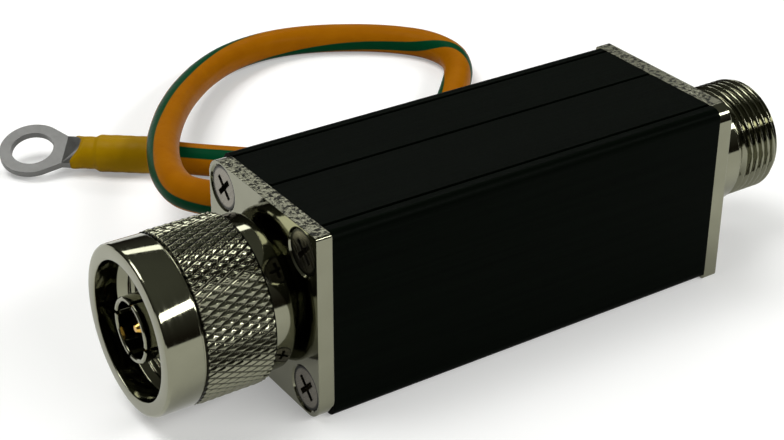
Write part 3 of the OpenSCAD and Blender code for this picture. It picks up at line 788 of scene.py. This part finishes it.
@dataclass
class CouplingNut:
    """Knurled nut that turns on the plug's neck. Radii and lengths are in millimetres."""

    ring_r: float = 10.6
    ring_len: float = 4.65
    line_depth: float = 0.35
    line_w: float = 0.3
    knurl_len: float = 9.2
    collar_r: float = 9.85
    collar_round: float = 0.8
    bore_r: float = 6.58
    bore_round: float = 0.2
    snap_r: float = 7.28
    snap_gap: float = 0.08
    relief_r: float = 8.0
    relief_gap: float = 0.3
    relief_round: float = 0.1
    thread_r: float = 7.4
    root_r: float = 7.95
    mouth_r: float = 8.65
    mouth_len: float = 3.0
    rim_round: float = 0.55
    edge: float = 0.12
    foot: float = 0.05
    pitch: float = 25.4 / 24
    turn_rows: int = 12
    around: int = 64
    along: int = 4
    cells: int = 8
    depth: float = 0.26
    power: float = 1.35
    chamfer: float = 0.35

    def knurl(self, x: np.ndarray, crest: float) -> np.ndarray:
        """Radius of the diamond knurl by row and column.

        With u counting diamonds round the nut and v along it, a = u + v and b = u - v are whole numbers on
        each diamond's middle. The height 1 - (2 max(|a - whole a|, |b - whole b|)) ^ power makes pyramids
        with slightly round sides. A chamfer at each end limits the radius.

        Args:
            x: Station of each row.
            crest: Radius of the diamonds' tops.

        Returns:
            Radius by row and column.
        """
        u = np.arange(self.around * self.cells) / self.cells
        v = ((x - x[0]) / (x[-1] - x[0]) * self.along)[:, None]
        a, b = u + v, u - v
        off = np.maximum(np.abs(a - np.round(a)), np.abs(b - np.round(b)))
        limit = crest - self.chamfer + np.minimum(x - x[0], x[-1] - x)
        return np.minimum(crest - self.depth * (2 * off) ** self.power, limit[:, None])

    def profiles(self, knurl_x: np.ndarray, crest: float) -> tuple[np.ndarray, np.ndarray]:
        """Lays out the section before and after the knurl.

        Args:
            knurl_x: Station of the knurl's rows.
            crest: Radius over the knurl.

        Returns:
            Station and radius of the points from the mouth over the rim and the smooth ring to the knurl,
            and of those from there over the collar and through the bore to the thread.
        """
        front, rear = stations("coupling_nut")
        snap, relief = stations("nut_snap_ring", self.snap_gap), stations("plug_gasket", self.relief_gap)
        start, end = knurl_x[[0, -1]]
        line_x, line_r = start - self.line_w, self.ring_r - self.line_depth
        return rounded([
            (front + 1, self.mouth_r, 0), (front, self.mouth_r, self.edge),
            (front, self.ring_r, self.rim_round), (line_x, self.ring_r, self.edge),
            (line_x, line_r, self.foot), (start, line_r, self.foot), (start, crest, 0),
        ]), rounded([
            (end, crest, 0), (end, self.collar_r, self.foot),
            (rear, self.collar_r, self.collar_round), (rear, self.bore_r, self.bore_round),
            (snap[1], self.bore_r, 0), (snap[1], self.snap_r, 0), (snap[0], self.snap_r, 0),
            (snap[0], self.bore_r, 0), (relief[1], self.bore_r, self.relief_round),
            (relief[1], self.relief_r, 0), (relief[0], self.relief_r, 0), (relief[0], self.thread_r, 0),
        ])

    def build(self, palette: Palette) -> None:
        """Turns the nut's whole section, inside and out, about the coaxial line.

        Each cell is cut along the diagonal whose ends differ less in radius. The UV map's first number is
        the knurl's height, and 1 elsewhere.

        Args:
            palette: Gives the finishes.
        """
        low, high = (np.array(corner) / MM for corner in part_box("coupling_nut"))
        front, crest = low[0], (high[1] - low[1]) / 2
        knurl_x = np.linspace(0, self.knurl_len, self.along * self.cells + 1)
        knurl_x = knurl_x + front + self.ring_len + self.line_w
        outer, inner = self.profiles(knurl_x, crest)
        columns = self.around * self.cells
        angle = np.arange(columns) * 2 * math.pi / columns
        knurl = self.knurl(knurl_x, crest)
        thread_x = np.arange(stations("plug_gasket", self.relief_gap)[0], front + 0.2,
                             -self.pitch / self.turn_rows)
        mouth = self.mouth_r - np.maximum(thread_x - front - self.mouth_len, 0)
        cut = np.maximum(thread(thread_x, angle, self.pitch, self.thread_r, self.root_r), mouth[:, None])
        plain = np.ones(columns)
        x = np.concatenate([outer[:, 0], knurl_x, inner[:, 0], thread_x])
        radius = np.vstack([outer[:, 1:] * plain, knurl, inner[:, 1:] * plain, cut])
        below, beside = np.roll(radius, -1, axis=0), np.roll(radius, -1, axis=1)
        flip = np.abs(radius - np.roll(below, -1, axis=1)) > np.abs(below - beside) + 1e-6
        level = np.ones((len(x), columns + 1, 2))
        height = 1 - (crest - knurl) / self.depth
        level[len(outer):len(outer) + len(knurl_x), :, 0] = np.hstack([height, height[:, :1]])
        nut = skin(turned(x, radius, angle), True, flip, level)
        obj = nut.piece("knurled_coupling_nut", Body.NUT, Slot.NICKEL, ("coupling_nut",), 15)
        palette.dress(obj, KNURLED_NICKEL)


@dataclass
class PlugEnd:
    """Plug flange with its contact, bead, pin, seal, screws and snap ring, and the nut on its neck."""

    nut: CouplingNut
    nodes: tuple[str, ...] = ("plug_outer_contact", "plug_gasket", "plug_insulator", "plug_centre_pin",
                              "plug_flange_screws", "nut_snap_ring")

    def build(self, palette: Palette) -> None:
        """Makes the nut and gives the other pieces their finishes.

        Args:
            palette: Gives the finishes.
        """
        self.nut.build(palette)
        palette.dress_nodes(*self.nodes)
        palette.dress(frame["nodes"]["plug_body"], SAWN_NICKEL)


@dataclass
class JackEnd:
    """Jack flange with its threaded barrel, bead, socket and screws. Sizes are in millimetres."""

    root_r: float = 7.29
    crest_r: float = 7.94
    neck_r: float = 7.24
    neck_len: float = 0.8
    end_r: float = 7.54
    wall_r: float = 6.5
    thread_start: float = 40.0
    slope: float = 1.2
    pitch: float = 25.4 / 24
    turn_rows: int = 14
    nodes: tuple[str, ...] = ("jack_insulator", "jack_centre_socket", "jack_flange_screws")

    def plain_body(self) -> Surface:
        """Copies the CAD node's triangles.

        Returns:
            The copy, with its points merged.
        """
        mesh = frame["nodes"]["jack_body"].data
        mesh.calc_loop_triangles()
        points = np.empty(len(mesh.vertices) * 3, np.float32)
        faces = np.empty(len(mesh.loop_triangles) * 3, np.int32)
        mesh.vertices.foreach_get("co", points)
        mesh.loop_triangles.foreach_get("vertices", faces)
        return Surface(points.reshape(-1, 3).astype(float) / MM, faces.reshape(-1, 3)).welded()

    def ring(self, body: Surface, at: float, radius: float) -> tuple[np.ndarray, np.ndarray]:
        """Finds a ring of the copy's points.

        Args:
            body: The copy.
            at: Station of the ring.
            radius: Radius of the ring.

        Returns:
            Places of its points in order of their angle, and those angles.
        """
        y, z = body.points[:, 1], body.points[:, 2] - AXIS
        on_it = np.maximum(np.abs(body.points[:, 0] - at), np.abs(np.hypot(y, z) - radius)) < 0.01
        angle = np.arctan2(y[on_it], z[on_it])
        return body.points[on_it][np.argsort(angle)], np.sort(angle)

    def sleeve(self, body: Surface, end: float) -> Surface:
        """Makes the barrel's threaded outside.

        Its columns are those of the shoulder's ring, so that the two meet point for point, and at the end
        face it is zipped to that face's ring. The thread rises out of the neck and falls to the end face.

        Args:
            body: Copy of the plain jack.
            end: Station of the end face.

        Returns:
            The sleeve, with its faces outwards.
        """
        start = self.thread_start
        shoulder, angle = self.ring(body, start - self.neck_len, self.neck_r)
        face, face_angle = self.ring(body, end, self.end_r)
        cut_x = np.arange(start + 0.02, end - 0.03, self.pitch / self.turn_rows)
        x = np.r_[start - self.neck_len, start, cut_x, end - 0.02]
        rise = self.neck_r + np.maximum(x - start, 0) * self.slope
        most = np.maximum(np.minimum(rise, self.end_r + end - x), self.neck_r)
        least = self.end_r - (end - x) * self.slope
        radius = thread(x, angle, self.pitch, self.root_r, self.crest_r)
        points = turned(x, np.maximum(np.minimum(radius, most[:, None]), least[:, None]), angle)
        points[0] = shoulder
        cut, columns = grid(len(x), len(angle), False), len(angle)
        faces = np.vstack([cut[..., 0] * columns + cut[..., 1] % columns,
                           zipped(angle, face_angle) + (len(x) - 1) * columns])
        points = np.vstack([points.reshape(-1, 3), face])
        a, b, c = (points[faces[:, i]] for i in range(3))
        inwards = (np.cross(b - a, c - a)[:, 1:] * (a[:, 1:] - (0, AXIS))).sum() < 0
        return Surface(points, faces[:, ::-1] if inwards else faces)

    def build(self, palette: Palette) -> None:
        """Cuts a thread into the barrel and gives the other pieces their finishes.

        The plain barrel's band between the shoulder and the end face is taken out of the copy, and the
        threaded sleeve goes in.

        Args:
            palette: Gives the finishes.
        """
        body = self.plain_body()
        end = stations("jack_body")[1]
        span = np.hypot(body.points[:, 1], body.points[:, 2] - AXIS)
        middle = body.points[body.faces, 0].mean(axis=1)
        band = (middle > self.thread_start - self.neck_len + 0.01) & (middle < end - 0.01)
        band &= span[body.faces].min(axis=1) > self.wall_r
        jack = Surface(body.points, body.faces[~band]).joined(self.sleeve(body, end)).welded()
        obj = jack.piece("threaded_jack", Body.ARRESTOR, Slot.NICKEL, ("jack_body",))
        palette.dress(obj, SAWN_NICKEL)
        palette.dress_nodes(*self.nodes)


@dataclass
class SurgeCell:
    """Line rod, gas tube and earth path inside the housing."""

    nodes: tuple[str, ...] = ("inner_conductor", "line_clip", "gas_tube_line_electrode", "gas_tube_ceramic",
                              "gas_tube_earth_electrode", "earth_bracket", "bracket_screws", "earth_bush",
                              "lead_core")

    def dress(self, palette: Palette) -> None:
        """Gives the hidden pieces their finishes."""
        palette.dress_nodes(*self.nodes)


@dataclass
class EarthLead:
    """Striped lead, its heat-shrink sleeve and its ring terminal. Sizes are in millimetres."""

    radius: float = 2.4
    sides: int = 28
    sleeve_r: float = 2.85
    sleeve_back: float = 5.5
    sleeve_ahead: float = 6.7
    sleeve_sides: int = 48
    sleeve_rows: int = 64
    shrink: float = 0.36
    shrink_from: float = 2.4
    shrink_len: float = 1.0
    skirt_len: float = 0.5
    skirt_draw: float = 0.1
    ripple: float = 0.015
    swell: float = 0.012
    cling: float = 0.03
    fit: float = 0.02
    barrel_r: float = 2.3
    barrel_len: float = 5.0
    palm_start: float = 7.0
    palm_half: float = 2.8
    palm_t: float = 1.0
    palm_tilt: float = 20.0
    route: tuple[tuple[float, float, float], ...] = (
        (-21, 11.5, 12.7), (-21, 16.9, 12.7), (-22.3, 21.1, 12.2), (-24.9, 25.7, 11.3), (-26.4, 31, 10.4),
        (-25.5, 37, 9.6), (-23.4, 43, 8.9), (-20.6, 49, 8.2), (-17.2, 54.8, 7.5), (-12.4, 61.7, 6.7),
        (-6.5, 69, 5.5), (0.5, 76, 4.3), (8, 81.2, 3.4), (16, 83.8, 2.7), (23.5, 83.2, 2.4),
        (30.6, 79.8, 2.4), (36.6, 75.2, 2.4), (40.6, 69.8, 2.4), (41.4, 63.8, 2.4), (39.2, 58.4, 2.4),
        (35, 53.2, 2.4), (29, 47, 2.4), (22, 40.5, 2.4), (14, 36.6, 2.4), (6, 37.6, 2.4),
        (-1.5, 42, 2.4), (-8, 47.8, 2.4), (-13.5, 52.5, 2.5), (-18.5, 56.5, 2.9), (-23, 60, 2.9),
    )
    # Where the stripes turn round the lead: distance along it, and the turn in degrees
    twist: tuple[tuple[float, float], ...] = (
        (0, 21), (18, 20), (24, -5), (30, -25), (40, -45), (50, -60), (60, -71), (70, -78), (80, -74),
        (86, -67), (92, -56), (98, -42), (104, -26), (110, -14), (119, -5), (124, 12), (134, 145),
        (140, 200), (185, 308),
    )
    twist_blur: float = 5.0

    def build_cover(self, palette: Palette, line: np.ndarray, away: np.ndarray) -> Object:
        """Carries a round section along the route and closes it at both ends.

        The UV map has metres along the lead, and turns round it less the mean of the twist near by.

        Args:
            palette: Gives the finishes.
            line: Points along the lead's middle.
            away: Distance of each from the lead's start.

        Returns:
            The lead.
        """
        turn = np.arange(self.sides + 1) / self.sides
        rows = np.r_[0, np.arange(len(line)), len(line) - 1]
        points = swept(line, np.full((len(line), self.sides), self.radius), turn[:-1] * 2 * math.pi)[rows]
        points[[0, -1]] = line[[0, -1], None]
        near = away[:, None] + np.linspace(-self.twist_blur, self.twist_blur, 11)
        spin = np.interp(near, *np.array(self.twist, float).T).mean(axis=1) / 360
        uv = np.stack(np.broadcast_arrays(away[rows, None] * MM, turn - spin[rows, None]), axis=-1)
        obj = skin(points, False, uv=uv).piece("striped_earth_lead", Body.ARRESTOR, Slot.LEAD_COVER,
                                               ("earth_lead",), 50)
        palette.dress(obj, FINISHES[Slot.LEAD_COVER])
        return obj

    def sleeve_shell(self, s: np.ndarray, angle: np.ndarray) -> np.ndarray:
        """Radius of the sleeve's outside by row and column.

        It eases from the lead's to the barrel's and draws in at its ends, with low waves all over.

        Args:
            s: Distance of each row past the lead's end.
            angle: Angle of each column.

        Returns:
            Radius by row and column.
        """
        ease = np.clip((s - self.shrink_from) / self.shrink_len, 0, 1)[:, None]
        ease = ease * ease * (3 - 2 * ease)
        skirt = np.clip(np.minimum(s - s[0], s[-1] - s) / self.skirt_len, 0, 1)[:, None] ** 0.5
        waves = self.ripple * np.sin(s[:, None] * 3.1 + 1.3 * np.sin(angle * 2))
        waves = waves + self.swell * np.sin(s[:, None] * 1.3 + 3 * angle)
        drawn = self.sleeve_r - self.shrink * ease - self.skirt_draw * (1 - skirt)
        return drawn + waves * skirt - self.cling

    def build_sleeve(self, palette: Palette) -> Object:
        """Shrinks a tube over the lead's end and the terminal's barrel.

        Past the barrel a share of the barrel's circle gives way to the same share of the palm's flat
        section.

        Args:
            palette: Gives the finishes.

        Returns:
            The sleeve.
        """
        tip = np.array(self.route[-1])
        heading = tip - np.array(self.route[-2])
        heading /= np.linalg.norm(heading)
        outside = np.linspace(-self.sleeve_back, self.sleeve_ahead, self.sleeve_rows)
        s = np.r_[outside[0], outside, outside[-1], self.barrel_len, 0.4, -0.4]
        angle = np.arange(self.sleeve_sides) * 2 * math.pi / self.sleeve_sides
        lead_bore = np.full((1, self.sleeve_sides), self.radius + self.fit)
        barrel_bore = np.full((3, self.sleeve_sides), self.barrel_r + self.fit)
        radius = np.vstack([lead_bore, self.sleeve_shell(outside, angle), barrel_bore, lead_bore])
        side, tilt = np.cross(heading, (0, 0, 1)), math.radians(self.palm_tilt)
        up = np.cross(side, heading)
        across = math.cos(tilt) * side + math.sin(tilt) * up
        over = math.cos(tilt) * up - math.sin(tilt) * side
        flat = np.clip((s - self.barrel_len) / (self.palm_start - self.barrel_len), 0, 1)[:, None]
        radius = radius - flat * self.barrel_r
        wide = radius * np.cos(angle) + flat * self.palm_half * np.clip(4 * np.cos(angle), -1, 1)
        thick = radius * np.sin(angle) + flat * self.palm_t / 2 * np.clip(4 * np.sin(angle), -1, 1)
        points = tip + s[:, None, None] * heading + wide[..., None] * across + thick[..., None] * over
        obj = skin(points, True).piece("shrunk_sleeve", Body.ARRESTOR, Slot.YELLOW_SLEEVE,
                                       ("terminal_sleeve",), 50)
        palette.dress(obj, FINISHES[Slot.YELLOW_SLEEVE])
        return obj

    def build(self, palette: Palette) -> None:
        """Args:
            palette: Gives the finishes.
        """
        line = smooth_line(np.array(self.route, float))
        away = np.r_[0, np.cumsum(np.linalg.norm(np.diff(line, axis=0), axis=1))]
        cover = self.build_cover(palette, line, away)
        sleeve = self.build_sleeve(palette)
        palette.dress_nodes("ring_terminal")


@dataclass
class Lamp:
    """Rectangular studio lamp that faces the object.

    Attributes:
        name: The lamp's name.
        azimuth: Direction from the object in degrees, from +X towards +Y.
        elevation: Height of that direction in degrees.
        size: Width and height in metres.
        power: Power in watts.
        away: Distance in metres.
    """

    name: str
    azimuth: float
    elevation: float
    size: tuple[float, float]
    power: float
    away: float = 1.0

    def build(self) -> None:
        """Makes the lamp and turns it to the object's middle."""
        a, e = math.radians(self.azimuth), math.radians(self.elevation)
        out = Vector((math.cos(a) * math.cos(e), math.sin(a) * math.cos(e), math.sin(e)))
        light = bpy.data.lights.new(self.name, "AREA")
        light.shape = "RECTANGLE"
        light.size, light.size_y = self.size
        light.energy = self.power
        obj = bpy.data.objects.new(self.name, light)
        obj.location = out * self.away + Vector((0, 0, AXIS * MM))
        obj.rotation_euler = (-out).to_track_quat("-Z", "Y").to_euler()
        bpy.context.scene.collection.objects.link(obj)


@dataclass
class Studio:
    """White floor, dim room, three soft lamps and the camera. Only the floor's half width is in metres."""

    lamps: tuple[Lamp, ...] = (
        Lamp("key_lamp", -62, 38, (0.9, 0.16), 6.0),
        Lamp("back_lamp", 61, 38, (0.8, 0.16), 1.8),
        Lamp("fill_lamp", 140, 64, (0.6, 0.6), 7.5),
    )
    wall: str = "#2c2823"
    ceiling: str = "#6c6e66"
    paper: str = "#dfdfde"
    floor_glow: float = 0.28
    floor_half: float = 8.0
    floor_drop: float = 0.02
    camera_at: tuple[float, float, float] = (-118.739, -157.962, 121.877)
    azimuth: float = -33.784
    elevation: float = 29.047
    roll: float = 0.331
    lens: float = 79.68
    sensor: float = 36.0

    def build_floor(self) -> None:
        """Lays a pale floor that reads as white to the eye and to metal, and still takes a shadow."""
        material, tree = blank_material("white paper")
        path = add_node(tree, "LightPath").outputs
        seen = path["Is Camera Ray"]
        for ray in ("Is Glossy Ray", "Is Transmission Ray"):
            seen = add_node(tree, "Math", {0: seen, 1: path[ray]}, operation="MAXIMUM").outputs[0]
        glow = add_node(tree, "Math", {0: seen, 1: self.floor_glow}, operation="MULTIPLY")
        paper = add_node(tree, "BsdfDiffuse", {"Color": linear(self.paper)})
        shine = add_node(tree, "Emission", {"Strength": glow.outputs[0]})
        both = add_node(tree, "AddShader", {0: paper.outputs[0], 1: shine.outputs[0]})
        add_node(tree, "OutputMaterial", {"Surface": both.outputs[0]})
        mesh = bpy.data.meshes.new("floor")
        square = np.array([(-1, -1, 0), (1, -1, 0), (1, 1, 0), (-1, 1, 0)]) * self.floor_half
        mesh.from_pydata((square - (0, 0, self.floor_drop * MM)).tolist(), [], [(0, 1, 2, 3)])
        mesh.materials.append(material)
        floor = bpy.data.objects.new("floor", mesh)
        bpy.context.scene.collection.objects.link(floor)

    def build_room(self) -> None:
        """Lights the room with a ramp from a dark brown wall to a dim grey ceiling."""
        world = bpy.data.worlds.new("room")
        world.use_nodes = True
        tree = world.node_tree
        tree.nodes.clear()
        part = add_node(tree, "SeparateXYZ", {0: add_node(tree, "TexCoord").outputs["Generated"]})
        height = add_node(tree, "MapRange", {"Value": part.outputs["Z"], "From Min": 0.1, "From Max": 0.9})
        colour = add_node(tree, "Mix", {0: height.outputs[0], 6: linear(self.wall), 7: linear(self.ceiling)},
                          data_type="RGBA")
        sky = add_node(tree, "Background", {"Color": colour.outputs[2]})
        add_node(tree, "OutputWorld", {"Surface": sky.outputs[0]})
        bpy.context.scene.world = world

    def build_camera(self) -> None:
        """Sets the camera by its place and its turn about the upright, the level and the line of sight."""
        a, e, r = (math.radians(x) for x in (self.azimuth, self.elevation, self.roll))
        back = Vector((math.sin(a) * math.cos(e), -math.cos(a) * math.cos(e), math.sin(e)))
        right = Vector((math.cos(a), math.sin(a), 0))
        up = back.cross(right)
        right, up = math.cos(r) * right + math.sin(r) * up, math.cos(r) * up - math.sin(r) * right
        camera = bpy.data.objects.new("camera", bpy.data.cameras.new("camera"))
        camera.data.lens, camera.data.sensor_width = self.lens, self.sensor
        camera.data.clip_start, camera.data.clip_end = 0.01, 50
        turn = Matrix((right, up, back)).transposed().to_4x4()
        camera.matrix_world = Matrix.Translation(Vector(self.camera_at) * MM) @ turn
        bpy.context.scene.collection.objects.link(camera)
        bpy.context.scene.camera = camera

    def build(self) -> None:
        """Makes the floor, the room, the lamps and the camera."""
        self.build_floor()
        self.build_room()
        self.build_camera()
        for lamp in self.lamps:
            lamp.build()
        bpy.context.scene.view_settings.view_transform = "Standard"


def main() -> None:
    """Builds and dresses each sub-assembly in order, then the studio."""
    logging.basicConfig(level=logging.INFO, format="%(name)s: %(message)s")
    palette = Palette()
    EarthLead().build(palette)
    Housing().dress(palette)
    PlugEnd(CouplingNut()).build(palette)
    JackEnd().build(palette)
    SurgeCell().dress(palette)
    Studio().build()


if __name__ == "__main__":
    main()
